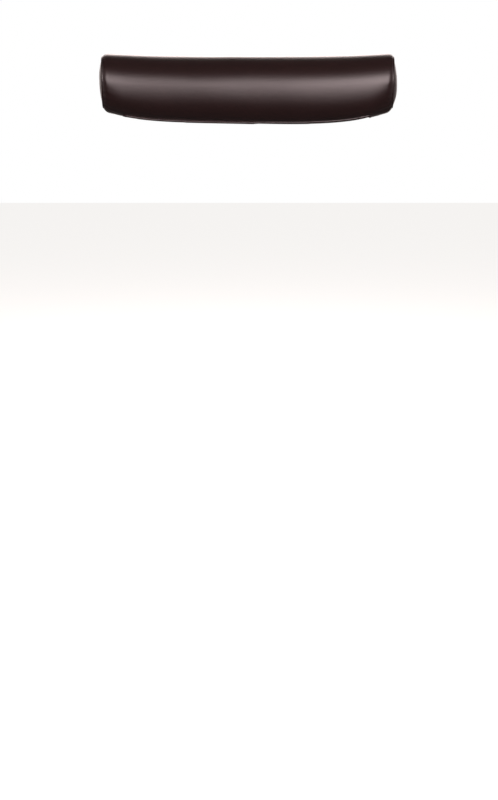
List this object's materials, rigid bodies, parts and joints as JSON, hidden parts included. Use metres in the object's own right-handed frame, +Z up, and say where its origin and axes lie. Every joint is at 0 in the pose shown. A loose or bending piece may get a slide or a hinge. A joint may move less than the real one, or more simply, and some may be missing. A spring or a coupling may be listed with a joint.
{
  "type": "chair headrest attachment",
  "caption": "Padded leather bolster headrest that slips over the top of a high chair back and slides up on hidden steel posts.",
  "frame": {"origin": "on the mount plate's front face, midway between its ends, where the chair back's shell lies against it", "axes": "+X across the chair, +Y towards the sitter, +Z up; the rear of the roll is at -Y"},
  "size_m": [0.492, 0.112, 0.1107],
  "materials": {
    "leather": "satin",
    "wadding": "matte",
    "foam": "matte",
    "plywood": "matte",
    "painted_steel": "satin",
    "plated_steel": "satin",
    "chromed_steel": "polished",
    "liner_plastic": "matte",
    "nylon": "matte",
    "acetal": "satin"
  },
  "bodies": {
    "mount": {"mount_plate": "painted_steel", "housing_screws": "plated_steel", "guide_housing_left": "nylon", "guide_housing_right": "nylon", "guide_bush_left": "acetal", "guide_bush_right": "acetal", "friction_ring_left": "plated_steel", "friction_ring_right": "plated_steel"},
    "headrest": {"frame_bar": "painted_steel", "post_washers": "plated_steel", "post_nuts": "plated_steel", "disc_screws": "plated_steel", "trough_screws": "plated_steel", "pocket_trough": "liner_plastic", "foam_roll": "foam", "wadding_wrap": "wadding", "leather_sleeve": "leather", "hem_piping": "leather", "edge_clip_rear": "nylon", "edge_clip_front": "nylon", "post_left": "chromed_steel", "post_foot_left": "acetal", "end_disc_left": "plywood", "end_pad_left": "foam", "leather_end_left": "leather", "end_piping_left": "leather", "post_right": "chromed_steel", "post_foot_right": "acetal", "end_disc_right": "plywood", "end_pad_right": "foam", "leather_end_right": "leather", "end_piping_right": "leather"}
  },
  "joints": [
    {"name": "height_slide", "type": "slide", "parent": "mount", "child": "headrest", "axis": [0, 0, 1], "range_m": [0, 0.04]}
  ]
}
